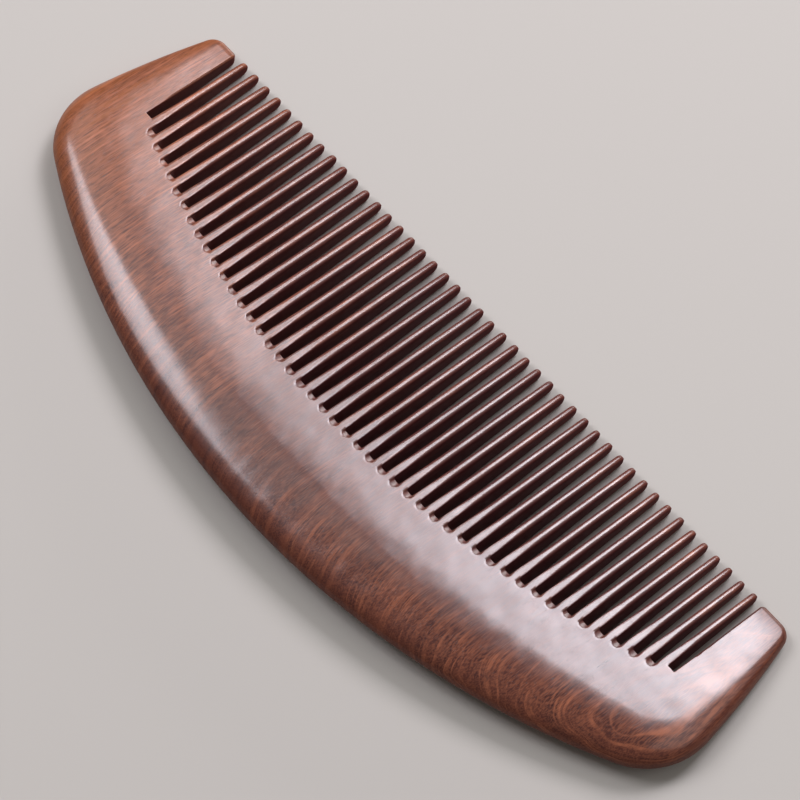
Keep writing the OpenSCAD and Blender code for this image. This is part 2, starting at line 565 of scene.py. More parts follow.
@dataclass
class Comb:
    """The whole comb as one closed mesh: back, guards, slots, gullets and teeth."""

    outline: Outline = field(default_factory=Outline)
    teeth: Teeth = field(default_factory=Teeth)
    gullets: Gullets = field(default_factory=Gullets)
    steps: Steps = field(default_factory=Steps)
    # rounding of a guard's long edge, of its inner corner and of its slot's corner
    guard_edge_r: float = 0.35
    inner_corner_r: float = 1.3
    fillet_r: float = 0.15
    # shares of a guard's height between which its columns turn square to the outer edge
    turn_between: Pair = (0.2, 0.7)
    # place on the spine that a column at x runs to, over x
    spread: float = 1.085
    # the most of a column that the gullet's rows may take, and the most of the rest that the rim
    # and the crease may take
    gullet_most: float = 0.35
    crease_most: float = 0.85
    # the most of a wall's height that the rounding of its edge may take
    edge_most: float = 0.6
    # how far in from the edge and from the tips it is worn, and how worn the tips are
    rim_wear: float = 5.5
    tip_wear: float = 9.0
    tip_share: float = 0.3
    # distance over which the rim's colouring gives way to the face's
    face_w: float = 8.0
    seed: int = 7
    section: Section = field(init=False)
    placement: Placement = field(init=False)
    rng: np.random.Generator = field(init=False)

    def __post_init__(self) -> None:
        """Works out the section that the outline and the teeth give."""
        self.section = Section.from_sizes(self.outline, self.teeth.tip_y)
        self.placement = Placement(self.outline, self.section)
        self.rng = np.random.default_rng(self.seed)

    def guard_columns(self, side: int) -> Columns:
        """Lays the columns across one guard and round the corner beside its slot.

        Args:
            side: -1 for the left guard, 1 for the right.

        Returns:
            The columns, from the guard's tip to the slot.
        """
        k = 0 if side < 0 else self.teeth.count
        wall_x = float(self.teeth.slot_x(k)) + side * self.teeth.slot_w / 2
        corner_y = float(self.teeth.root_y(k)) + self.fillet_r
        centres, radii, starts, _ = self.outline.arcs()
        level = math.asin((corner_y - centres[Arc.END, 1]) / radii[Arc.END])
        level_s = self.outline.stations()[Arc.END] + radii[Arc.END] * (level - starts[Arc.END])
        down = self.guard_down(side, wall_x, corner_y, level_s)
        fan = self.corner_fan(side, wall_x, corner_y, level_s)
        return Columns.joined([down, fan])

    def guard_down(self, side: int, wall_x: float, corner_y: float, level_s: float) -> Columns:
        """Lays the columns that run level from the end's edge to a guard's inner wall.

        The wall curves out to the tip as a circle of radius inner_corner_r.

        Args:
            side: -1 for the left guard, 1 for the right.
            wall_x: Where the inner wall stands.
            corner_y: Where it gives way to the slot's corner.
            level_s: Place on the outer edge level with that.

        Returns:
            The columns, from the guard's tip down.
        """
        outline, teeth = self.outline, self.teeth
        _, radii, starts, ends = outline.arcs()
        tip_start = outline.stations()[Arc.GUARD]
        turn = np.linspace(ends[Arc.GUARD], starts[Arc.GUARD], self.steps.tip + 1)
        tip_s = tip_start + radii[Arc.GUARD] * (turn - starts[Arc.GUARD])
        down_s = np.linspace(tip_start, level_s, self.steps.guard + 1)[1:]
        outer, normal = outline.at(side * np.concatenate([tip_s, down_s]))
        y = outer[:, 1]
        lift = np.clip(y - (outline.guard_l - self.inner_corner_r), 0.0, self.inner_corner_r)
        inset = self.inner_corner_r - np.sqrt(self.inner_corner_r**2 - lift**2)
        level = np.tile([float(side), 0.0], (len(y), 1))
        lower = (outline.guard_l - y) / (outline.guard_l - corner_y)
        blend = np.interp(lower, self.turn_between, (0.0, 1.0))[:, None]
        square = level * (1 - blend) + normal * blend
        rise = np.clip((y - corner_y) / teeth.edge_run, 0.0, 1.0)
        return Columns(
            outer=outer,
            square=square / np.linalg.norm(square, axis=1, keepdims=True),
            inner=np.stack([wall_x + side * inset, y], axis=1),
            into=level,
            edge_r=teeth.edge_root + (self.guard_edge_r - teeth.edge_root) * rise,
        )

    def corner_fan(self, side: int, wall_x: float, corner_y: float, level_s: float) -> Columns:
        """Lays the columns that fan out from a slot's corner to the comb's lower corner.

        Args:
            side: -1 for the left guard, 1 for the right.
            wall_x: Where the guard's inner wall stands.
            corner_y: Where it gives way to the slot's corner, a circle of radius fillet_r.
            level_s: Place on the outer edge level with that.

        Returns:
            The columns, from the guard to the slot.
        """
        centre_x = wall_x - side * self.fillet_r
        angle = np.linspace(0.0, -math.pi / 2, self.steps.fan + 1)[1:]
        into = np.stack([side * np.cos(angle), np.sin(angle)], axis=1)
        root_s = abs(self.spread * centre_x)
        s = side * np.linspace(level_s, root_s, self.steps.fan + 1)[1:]
        outer, normal = self.outline.at(s)
        return Columns(
            outer=outer,
            square=normal,
            inner=np.array([centre_x, corner_y]) + self.fillet_r * into,
            into=into,
            edge_r=np.full(self.steps.fan, self.teeth.edge_root),
        )

    def row_columns(self) -> tuple[Columns, np.ndarray]:
        """Lays the columns from the slots' ends and the teeth's roots to the spine.

        Returns:
            The columns from left to right, and for each tooth the number of its left column.
        """
        teeth, steps = self.teeth, self.steps
        slots = np.arange(teeth.count + 1)
        share = np.tile(steps.slot, (teeth.count + 1, 1))
        share[0] = np.linspace(self.fillet_r / teeth.slot_w - 0.5, 0.5, len(steps.slot))
        share[-1] = -share[0, ::-1]
        slot_x = teeth.slot_x(slots)[:, None] + share * teeth.slot_w
        slot_y = np.repeat(teeth.root_y(slots)[:, None], len(steps.slot), axis=1)
        part = np.linspace(0.0, 1.0, steps.tooth + 1)[1:-1]
        tooth_x = slot_x[:-1, -1:] + part * teeth.root_w
        tooth_y = slot_y[:-1, -1:] + part * (slot_y[1:, :1] - slot_y[:-1, -1:])
        # no tooth follows the last slot, so the places that pad it out are dropped again
        pad = np.full((1, steps.tooth - 1), np.nan)
        x = np.hstack([slot_x, np.vstack([tooth_x, pad])]).ravel()[: -pad.size]
        y = np.hstack([slot_y, np.vstack([tooth_y, pad])]).ravel()[: -pad.size]
        outer, normal = self.outline.at(self.spread * x)
        columns = Columns(
            outer=outer,
            square=normal,
            inner=np.stack([x, y], axis=1),
            into=np.tile([0.0, -1.0], (len(x), 1)),
            edge_r=np.full(len(x), teeth.edge_root),
        )
        left = slots[:-1] * (len(steps.slot) - 1 + steps.tooth) + len(steps.slot) - 1
        return columns, left

    def rows_along(self, columns: Columns) -> tuple[np.ndarray, np.ndarray]:
        """Spaces the band's rows along each column: rim, crease, face, gullet and inner edge.

        The rim's rows go round the ellipse by equal angles, and the inner edge's round its circle.
        Where a column is short, the rows over the gullet and those up to the crease draw in.

        Args:
            columns: The columns, in order.

        Returns:
            Distances in from the outer edge (columns, rows), and for each how far it has gone over
            from the outer edge's direction to the inner edge's, 0 to 1.
        """
        steps, section, length = self.steps, self.section, columns.length()
        _, foot_y, sine = self.outline.foot(columns.outer[:, 0], columns.outer[:, 1])
        depth, _ = section.junction(foot_y, sine)
        depth = depth[:, None]
        _, inner = section.rubbed(depth, columns.outer[:, :1], self.outline.length / 2)
        reach = section.reach(sine)[:, None]
        turn = np.arccos(1 - depth / reach) * np.linspace(0, 1, steps.rim + 1)
        gullet = np.array(steps.gullet)
        gullet = gullet * np.minimum(1.0, self.gullet_most * length / gullet[0])
        face_end = length - gullet[:, :1]
        fit = np.minimum(1.0, self.crease_most * face_end / (depth + inner))
        rim = fit * reach * (1 - np.cos(turn))
        crease = fit * (depth + inner * np.arange(1, steps.crease + 1) / steps.crease)
        span = face_end - crease[:, -1:]
        middle = crease[:, -1:] + span * np.arange(1, steps.middle + 1) / (steps.middle + 1)
        angle = np.linspace(0, math.pi / 2, steps.edge + 1)
        edge = length - columns.edge_r[:, None] * (1 - np.sin(angle))
        along = np.hstack([rim, crease, middle, length - gullet, edge])
        return along, eased(np.clip((along - crease[:, -1:]) / span, 0.0, 1.0))

    def band(self, columns: Columns) -> tuple[np.ndarray, np.ndarray]:
        """Carries the section along the columns.

        Near the rim a column's points go in square to the outer edge, near the inner edge they lie
        straight in from it, and a smooth step blends the two between. The last rows go round the
        inner edge and down the wall to the middle plane.

        Args:
            columns: The columns, in order.

        Returns:
            Points of the upper half (columns, rows, 3), and how sawn or filed each is, 0 to 1.
        """
        steps = self.steps
        along, over = self.rows_along(columns)
        back = (columns.length() - along)[..., None]
        from_rim = columns.outer[:, None] - columns.square[:, None] * along[..., None]
        from_edge = columns.inner[:, None] + columns.into[:, None] * back
        plan = from_rim * (1 - over[..., None]) + from_edge * over[..., None]
        x, y = plan[..., 0], plan[..., 1]
        cut = self.gullets.cut(self.teeth, self.rng, x, y)
        z = self.section.half_thickness(self.outline, x, y) - cut
        z[:, 0] = 0.0

        drop = np.minimum(columns.edge_r[:, None], self.edge_most * z[:, -1:])
        angle = np.linspace(0, math.pi / 2, steps.edge + 1)
        z[:, -steps.edge - 1 :] -= drop * (1 - np.cos(angle))
        # the wall's rows are spaced as if it began one drop lower, clear of its rounded edge
        wall_z = (z[:, -1:] - drop) * (1 - np.arange(1, steps.wall + 1) / steps.wall)
        wall_xy = np.repeat(plan[:, -1:], steps.wall, axis=1)
        wall = np.concatenate([wall_xy, wall_z[..., None]], axis=2)
        points = np.concatenate([np.dstack([plan, z]), wall], axis=1)

        sawn = np.zeros(points.shape[:2])
        sawn[:, -steps.wall :] = 1.0
        sawn[:, -steps.wall - steps.edge - 1 : -steps.wall] = np.linspace(0, 1, steps.edge + 1)
        filed = self.gullets.dull * (cut > 0.0)
        sawn[:, : -steps.wall] = np.maximum(sawn[:, : -steps.wall], filed)
        return points, sawn

    def rings(self) -> Rings:
        """Works out the rings of every tooth, past its root.

        Half the width falls in a straight line from root to tip, and half the thickness follows
        the flat faces. Over the last point_l both close as a superellipse does, by
        (1 - (1 - t)^p)^(1/p), with t the share of point_l that is left and p point_power.

        Returns:
            The rings, the long edges' rounding held to a share of the half sizes.
        """
        teeth, steps = self.teeth, self.steps
        tooth = np.arange(teeth.count)
        root = np.maximum(teeth.root_y(tooth), teeth.root_y(tooth + 1))[:, None]
        tip = teeth.tip_y + teeth.tip_vary * self.rng.uniform(-1, teeth.tip_over, (teeth.count, 1))
        start, point_y = root + steps.past_root, tip - teeth.point_l * np.array(steps.before_tip)
        body = np.linspace(0.0, 1.0, steps.body + 2)[1:-1]
        between = start[:, -1:] + (point_y[:, :1] - start[:, -1:]) * body
        y = np.hstack([start, between, point_y])
        left = np.clip((tip - y) / teeth.point_l, 0.0, 1.0)
        point = (1 - (1 - left) ** teeth.point_power) ** (1 / teeth.point_power)
        taper = (y - root) / (teeth.tip_y - root)
        straight_w = (teeth.root_w + (teeth.tip_w - teeth.root_w) * taper) / 2
        half_w = teeth.point_w + (straight_w - teeth.point_w) * point
        half_h = self.section.flat(y) * point
        edge_w = np.minimum(teeth.edge(y - root), teeth.edge_most_w * half_w)
        edge_h = np.minimum(edge_w * (1 + point) / 2, teeth.edge_most_h * half_h)
        lean = teeth.lean * self.rng.uniform(-1, 1, (teeth.count, 1)) * taper**2
        x = teeth.slot_x(tooth + 0.5)[:, None] + lean
        return Rings(x, y, half_w, half_h, edge_w, edge_h)

    def tooth_points(self) -> np.ndarray:
        """Places the points of every tooth's rings.

        A ring goes up the left wall, round its edge, over the top and down the right side.

        Returns:
            Points (teeth, rings, points in a ring, 3).
        """
        steps, rings = self.steps, self.rings()
        angle = np.linspace(math.pi / 2, 0, steps.edge + 1)[1:]
        wall = np.arange(steps.wall + 1) / steps.wall
        inset = np.concatenate([np.zeros(steps.wall + 1), 1 - np.sin(angle)])
        top = np.linspace(-1, 1, steps.tooth + 1)[1:-1]
        half_w, half_h = rings.half_w[..., None], rings.half_h[..., None]
        edge_w, edge_h = rings.edge_w[..., None], rings.edge_h[..., None]
        left_x = -half_w + edge_w * inset
        side_z = np.concatenate(
            [(half_h - edge_h) * wall, half_h - edge_h * (1 - np.cos(angle))], axis=2
        )
        top_z = np.repeat(half_h, steps.tooth - 1, axis=2)
        x = np.concatenate([left_x, (half_w - edge_w) * top, -left_x[..., ::-1]], axis=2)
        x = x + rings.x[..., None]
        z = np.concatenate([side_z, top_z, side_z[..., ::-1]], axis=2)
        return np.stack([x, np.broadcast_to(rings.y[..., None], x.shape), z], axis=-1)

    def tooth_sawn(self) -> np.ndarray:
        """Works out how sawn a tooth's surface is.

        Returns:
            A value for each point of a ring, 1 on its walls and 0 on its top.
        """
        # the square root holds the value high round the long edges, so the walls' darker colour,
        # partly painted shade, reaches up to the top's highlight
        edge = np.sqrt(np.linspace(1, 0, self.steps.edge + 1)[1:])
        side = np.concatenate([np.ones(self.steps.wall + 1), edge])
        return np.concatenate([side, np.zeros(self.steps.tooth - 1), side[::-1]])

    def surface(self) -> tuple[np.ndarray, np.ndarray, np.ndarray]:
        """Joins the band and the teeth, and mirrors them in the middle plane.

        The band is left open where a tooth stands. There the tooth's first ring of quads starts
        from the band's own points: up one wall, along the root and down the other.

        Returns:
            Points (n, 3) in millimetres about the middle plane, quads (m, 4) of the upper half
            followed by those of the lower half, wound the other way, and how sawn each point is.
        """
        steps = self.steps
        row, tooth_left = self.row_columns()
        left, right = self.guard_columns(-1), self.guard_columns(1).some(slice(None, None, -1))
        # the last column of each fan is also one of the row's
        columns = Columns.joined([left.some(slice(0, -1)), row, right.some(slice(1, None))])
        first = tooth_left + len(left.outer) - 1
        band, band_sawn = self.band(columns)
        rows = band.shape[1]
        number = np.arange(band.shape[0] * rows).reshape(band.shape[:2])
        top_row = rows - steps.wall - steps.edge - 1
        quads = quads_between(number)
        open_column = np.zeros(band.shape[0], bool)
        open_column[(first[:, None] + np.arange(steps.tooth)).ravel()] = True
        column_of, row_of = np.divmod(np.arange(len(quads)), rows - 1)
        quads = quads[~(open_column[column_of] & (row_of >= top_row))]

        rings = self.tooth_points()
        ring_number = number.size + np.arange(rings[..., 0].size).reshape(rings.shape[:3])
        up = number[first][:, ::-1][:, : rows - top_row]
        root = number[first[:, None] + np.arange(1, steps.tooth), top_row]
        down = number[first + steps.tooth][:, top_row:]
        base = np.concatenate([up, root, down], axis=1)
        tooth_quads = quads_between(np.concatenate([base[:, None], ring_number], axis=1))

        points = np.concatenate([band.reshape(-1, 3), rings.reshape(-1, 3)])
        points[points[:, 2] < CLOSED, 2] = 0.0
        upper = np.concatenate([quads[:, ::-1], tooth_quads])
        lower = upper[:, ::-1] + len(points)
        ring_sawn = np.tile(self.tooth_sawn(), rings[..., 0, 0].size)
        return (
            np.concatenate([points, points * [1, 1, -1]]),
            np.concatenate([upper, lower]),
            np.tile(np.concatenate([band_sawn.ravel(), ring_sawn]), 2),
        )

    def wear(self, points: np.ndarray) -> np.ndarray:
        """Works out how much hands and hair have rubbed each place.

        It rises to 1 over the last rim_wear of the outer edge and to tip_share over the last
        tip_wear of the teeth and guards, and the two are joined as chances are:
        1 - (1 - a) (1 - b).

        Args:
            points: Places about the middle plane (n, 3).

        Returns:
            Wear at each place, 0 to 1.
        """
        gap, _, _ = self.outline.foot(points[:, 0], points[:, 1])
        rim = np.clip(1 - gap / self.rim_wear, 0.0, 1.0) ** 2
        to_tips = (self.outline.guard_l - points[:, 1]) / self.tip_wear
        tips = self.tip_share * np.clip(1 - to_tips, 0.0, 1.0) ** 2
        return 1 - (1 - rim) * (1 - tips)

    def face(self, points: np.ndarray) -> np.ndarray:
        """Returns how much each place belongs to the face: 0 on the worn rim, 1 face_w past it."""
        gap, _, _ = self.outline.foot(points[:, 0], points[:, 1])
        return np.clip((gap - self.rim_wear) / self.face_w, 0.0, 1.0)

    def build(self, wood: bpy.types.Material) -> bpy.types.Object:
        """Builds the comb and dresses it.

        Args:
            wood: The comb's finish.

        Returns:
            The comb's object, which replaces the back and the teeth.
        """
        points, quads, sawn = self.surface()
        marks = {Mark.WEAR: self.wear(points), Mark.FACE: self.face(points), Mark.SAWN: sawn}
        comb = closed_mesh("comb_wood", self.placement.lay(points), quads, marks)
        comb.data.materials.append(wood)
        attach(comb, "root")
        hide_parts(*(node.value for node in Node))
        return comb


def quads_between(number: np.ndarray) -> np.ndarray:
    """Lists the quads of grids of points.

    Args:
        number: Point numbers (..., lines, points in a line). Each step along a line and each step
            from line to line bound one quad.

    Returns:
        Quads (n, 4).
    """
    before, after = number[..., :-1, :], number[..., 1:, :]
    corners = before[..., :-1], after[..., :-1], after[..., 1:], before[..., 1:]
    return np.stack([corner.ravel() for corner in corners], axis=1)


def closed_mesh(
    name: str, points: np.ndarray, quads: np.ndarray, marks: dict[Mark, np.ndarray]
) -> bpy.types.Object:
    """Makes a mesh object whose points that coincide are one, so that every seam is closed.

    The quads enclose a sixth of the sum of a . (b x c + c x d) over their corners a, b, c and d.
    If that is negative they face inwards, and all faces are turned over.

    Args:
        name: The object's name.
        points: Places in metres (n, 3).
        quads: Point numbers (m, 4). A quad with two corners in one place becomes a triangle, and
            one that has shrunk to a line is left out.
        marks: Values at the points that the mesh keeps as attributes.

    Returns:
        The object, smooth shaded, with its faces pointing outwards.
    """
    cells = np.rint(points / SAME).astype(np.int64)
    _, first, same = np.unique(cells, axis=0, return_index=True, return_inverse=True)
    quads = same.reshape(-1)[quads]
    points = points[first]
    doubled = quads == np.roll(quads, -1, axis=1)
    crossed = (quads[:, 0] == quads[:, 2]) | (quads[:, 1] == quads[:, 3])
    whole = quads[~doubled.any(axis=1) & ~crossed]
    pinched = quads[(doubled.sum(axis=1) == 1) & ~crossed]
    thirds = pinched[pinched != np.roll(pinched, -1, axis=1)].reshape(-1, 3)
    a, b, c, d = (points[whole[:, i]] for i in range(4))
    if np.einsum("ij,ij->i", a, np.cross(b, c) + np.cross(c, d)).sum() < 0:
        whole, thirds = whole[:, ::-1], thirds[:, ::-1]
    corners = np.concatenate([whole.ravel(), thirds.ravel()])
    used, renumbered = np.unique(corners, return_inverse=True)
    fours, threes = np.split(renumbered.reshape(-1), [whole.size])
    faces = fours.reshape(-1, 4).tolist() + threes.reshape(-1, 3).tolist()
    mesh = bpy.data.meshes.new(name)
    mesh.from_pydata(points[used].tolist(), [], faces)
    mesh.shade_smooth()
    for mark, values in marks.items():
        kept = values[first][used].astype(np.float32)
        mesh.attributes.new(mark.value, "FLOAT", "POINT").data.foreach_set("value", kept)
    mesh.update()
    piece = bpy.data.objects.new(name, mesh)
    bpy.context.scene.collection.objects.link(piece)
    return piece


@dataclass(frozen=True)
class Pattern:
    """A noise in the wood, black where it is under low and white where it is over high."""

    # cells to a unit along x, y and z, which is a millimetre unless a pattern says otherwise
    cells: Triple
    # finer octaves
    detail: float
    low: float = 0.0
    high: float = 1.0


class Nodes:
    """Short calls that add nodes to a material's or a group's tree and link them."""

    # how strong each finer octave of a noise is beside the one before
    noise_roughness: float = 0.6

    def __init__(self, tree: bpy.types.NodeTree) -> None:
        """Keeps the tree that the nodes go into."""
        self.tree = tree

    def add(self, kind: str, **settings: Value | str | bpy.types.NodeTree) -> bpy.types.Node:
        """Adds a node, sets its properties and fills its inputs.

        Args:
            kind: The node's type name.
            **settings: Properties by their own lower-case names, and values or sockets for inputs,
                by the input's name with _ for a space, or by I and its number.

        Returns:
            The node.
        """
        node = self.tree.nodes.new(kind)
        for name in filter(str.islower, settings):
            setattr(node, name, settings[name])
        for name, value in settings.items():
            if name.islower():
                continue
            number = name[1:]
            socket = node.inputs[int(number) if number.isdigit() else name.replace("_", " ")]
            if isinstance(value, Socket):
                self.tree.links.new(value, socket)
            else:
                socket.default_value = value
        return node

    def maths(self, operation: str, *values: Value) -> Socket:
        """Adds a Math node that works on the values in order, and returns its result."""
        inputs = {f"I{i}": value for i, value in enumerate(values)}
        return self.add("ShaderNodeMath", operation=operation, **inputs).outputs[0]

    def times(self, value: Value, by: Value) -> Socket:
        """Multiplies two values."""
        return self.maths("MULTIPLY", value, by)

    def line(self, value: Value, start: Value, gain: Value) -> Socket:
        """Works out start + gain * value."""
        return self.maths("MULTIPLY_ADD", value, gain, start)

    def vector(self, operation: str, value: Value, other: Value) -> Socket:
        """Works on two places as a Vector Math node does."""
        return self.add("ShaderNodeVectorMath", operation=operation, I0=value, I1=other).outputs[0]

    def part(self, place: Socket, axis: str) -> Socket:
        """Reads one coordinate of a place."""
        return self.add("ShaderNodeSeparateXYZ", Vector=place).outputs[axis]

    def between(self, value: Socket, start: float, end: float) -> Socket:
        """Rises evenly from 0 to 1 as a value goes from start to end."""
        return self.add("ShaderNodeMapRange", I0=value, I1=start, I2=end).outputs[0]

    def mark(self, mark: Mark) -> Socket:
        """Reads what the mesh notes at its points."""
        return self.add("ShaderNodeAttribute", attribute_name=mark.value).outputs["Fac"]

    def mix(self, share: Socket, under: Socket | Triple, over: Triple) -> Socket:
        """Lays a plain colour over another.

        Args:
            share: How strongly it covers the other, 0 to 1.
            under: The colour below.
            over: The plain colour.

        Returns:
            The colour's socket.
        """
        below = under if isinstance(under, Socket) else (*under, 1.0)
        colours = {"I6": below, "I7": (*over, 1.0)}
        return self.add("ShaderNodeMix", data_type="RGBA", I0=share, **colours).outputs[2]

    def noise(self, place: Socket, pattern: Pattern) -> Socket:
        """Reads a pattern's noise as it is.

        Args:
            place: Where it is read.
            pattern: Its cells and its octaves.

        Returns:
            The noise's socket, about 0.5.
        """
        noise = self.add(
            "ShaderNodeTexNoise",
            Vector=self.vector("MULTIPLY", place, pattern.cells),
            Scale=1.0,
            Detail=pattern.detail,
            Roughness=self.noise_roughness,
        )
        return noise.outputs[0]

    def pattern(self, place: Socket, pattern: Pattern) -> Socket:
        """Reads a pattern with its contrast.

        Args:
            place: Where it is read.
            pattern: Its cells, its octaves, and where it is black and white.

        Returns:
            A value's socket, which goes evenly from 0 at low to 1 at high.
        """
        ramp = self.add("ShaderNodeValToRGB", Fac=self.noise(place, pattern))
        black, white = ramp.color_ramp.elements
        black.position, white.position = pattern.low, pattern.high
        black.color, white.color = (0.0, 0.0, 0.0, 1.0), (1.0, 1.0, 1.0, 1.0)
        return ramp.outputs[0]


def new_group(
    name: str, vectors: tuple[str, ...], values: tuple[str, ...], results: tuple[str, ...]
) -> Nodes:
    """Starts a node group with named sockets.

    Args:
        name: The group's name.
        vectors: Names of its vector inputs.
        values: Names of its value inputs.
        results: Names of its value outputs.

    Returns:
        The helper that adds nodes to the group.
    """
    tree = bpy.data.node_groups.new(name, "ShaderNodeTree")
    for socket in vectors:
        tree.interface.new_socket(socket, in_out="INPUT", socket_type="NodeSocketVector")
    for socket in values:
        tree.interface.new_socket(socket, in_out="INPUT", socket_type="NodeSocketFloat")
    for socket in results:
        tree.interface.new_socket(socket, in_out="OUTPUT", socket_type="NodeSocketFloat")
    return Nodes(tree)


@dataclass(frozen=True)
class Growth:
    """The wood's growth bands, as bent sheets round a far pith that runs along y.

    The distance from the pith's line is disturbed by a slow drift, and then read by a noise that is
    long along the pith, so that a face along the grain shows long bands and a rounding across it
    shows arcs.
    """

    drift: Pattern = Pattern(cells=(0.05, 0.012, 0.08), detail=2.0)
    # steps along the sheets for a millimetre along the pith
    drawn_out: float = 0.012
    # cells to a step across the sheets, then along them
    bands: Pattern = Pattern(cells=(0.35, 1.0, 1.0), detail=2.0, low=0.32, high=0.68)
    lines: Pattern = Pattern(cells=(1.35, 2.0, 1.0), detail=2.5, low=0.48, high=0.60)

    def build(self) -> bpy.types.NodeTree:
        """Builds the group.

        Returns:
            The group, with inputs Place (millimetres), Pith, Waver (millimetres) and Tightness
            (steps across the sheets to a millimetre), and outputs Bands and Lines.
        """
        vectors, values, results = ("Place", "Pith"), ("Waver", "Tightness"), ("Bands", "Lines")
        nodes = new_group("growth_bands", vectors, values, results)
        given = nodes.add("NodeGroupInput").outputs
        drift = nodes.noise(given["Place"], self.drift)
        off = nodes.vector("SUBTRACT", given["Place"], given["Pith"])
        off = nodes.vector("MULTIPLY", off, (1.0, 0.0, 1.0))
        radius = nodes.add("ShaderNodeVectorMath", operation="LENGTH", I0=off).outputs["Value"]
        radius = nodes.line(drift, radius, given["Waver"])
        across = nodes.times(radius, given["Tightness"])
        along = nodes.times(nodes.part(given["Place"], "Y"), self.drawn_out)
        sheet = nodes.add("ShaderNodeCombineXYZ", X=across, Y=along).outputs[0]
        bands, lines = nodes.pattern(sheet, self.bands), nodes.pattern(sheet, self.lines)
        nodes.add("NodeGroupOutput", Bands=bands, Lines=lines)
        return nodes.tree


@dataclass(frozen=True)
class Fibres:
    """The wood's fibres, flecks and open pores, all long along y, in cells to a fleck's width."""

    fibres: Pattern = Pattern(cells=(0.45, 0.02, 0.45), detail=3.0)
    flecks: Pattern = Pattern(cells=(1.0, 0.10, 1.0), detail=0.0, low=0.40, high=0.62)
    pores: Pattern = Pattern(cells=(1.7, 0.14, 1.7), detail=0.0, low=0.70, high=0.78)

    def build(self) -> bpy.types.NodeTree:
        """Builds the group.

        Returns:
            The group, with inputs Place (millimetres) and Width (of a fleck), and outputs Fibres,
            Flecks and Pores.
        """
        results = ("Fibres", "Flecks", "Pores")
        nodes = new_group("fibres_and_pores", ("Place",), ("Width",), results)
        given = nodes.add("NodeGroupInput").outputs
        scale = {"I0": given["Place"], "Scale": nodes.maths("DIVIDE", 1.0, given["Width"])}
        place = nodes.add("ShaderNodeVectorMath", operation="SCALE", **scale).outputs[0]
        fibres = nodes.noise(place, self.fibres)
        flecks, pores = nodes.pattern(place, self.flecks), nodes.pattern(place, self.pores)
        nodes.add("NodeGroupOutput", Fibres=fibres, Flecks=flecks, Pores=pores)
        return nodes.tree


@dataclass(frozen=True)
class Readings:
    """What the wood's nodes read: the place in it, its growth and fibres, and the mesh's marks."""

    place: Socket
    growth: Outputs
    fibres: Outputs
    wear: Socket
    sawn: Socket


